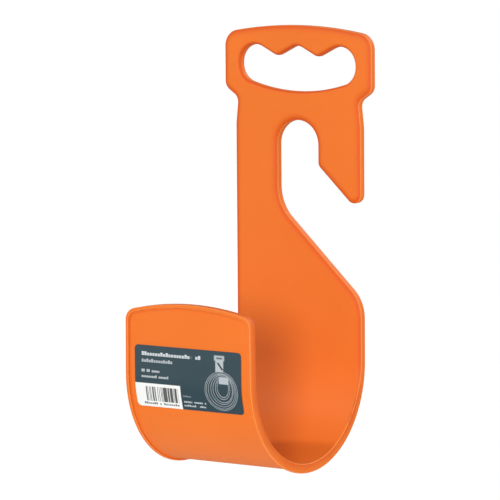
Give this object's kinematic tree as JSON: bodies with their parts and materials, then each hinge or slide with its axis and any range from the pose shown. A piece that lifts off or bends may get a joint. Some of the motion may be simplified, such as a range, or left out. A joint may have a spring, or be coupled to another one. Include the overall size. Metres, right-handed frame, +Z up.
{
  "type": "hose hanger",
  "caption": "One-piece moulded wall hanger for a coiled garden hose: hand grip, side-opening hanging slot, round trough and front lip with a label.",
  "frame": {"origin": "centre of the hanging slot's round top, in the plane of the back rim that lies against the wall", "axes": "+X to the right along the plate's width, +Y back to the wall, +Z up along the plate; the trough opens towards -Y"},
  "size_m": [0.129, 0.1454, 0.3155],
  "materials": {
    "body_plastic": "satin orange, moulded",
    "label_film": "printed slate grey film"
  },
  "bodies": {
    "root": {"hanger": "body_plastic", "label": "label_film"}
  },
  "joints": []
}
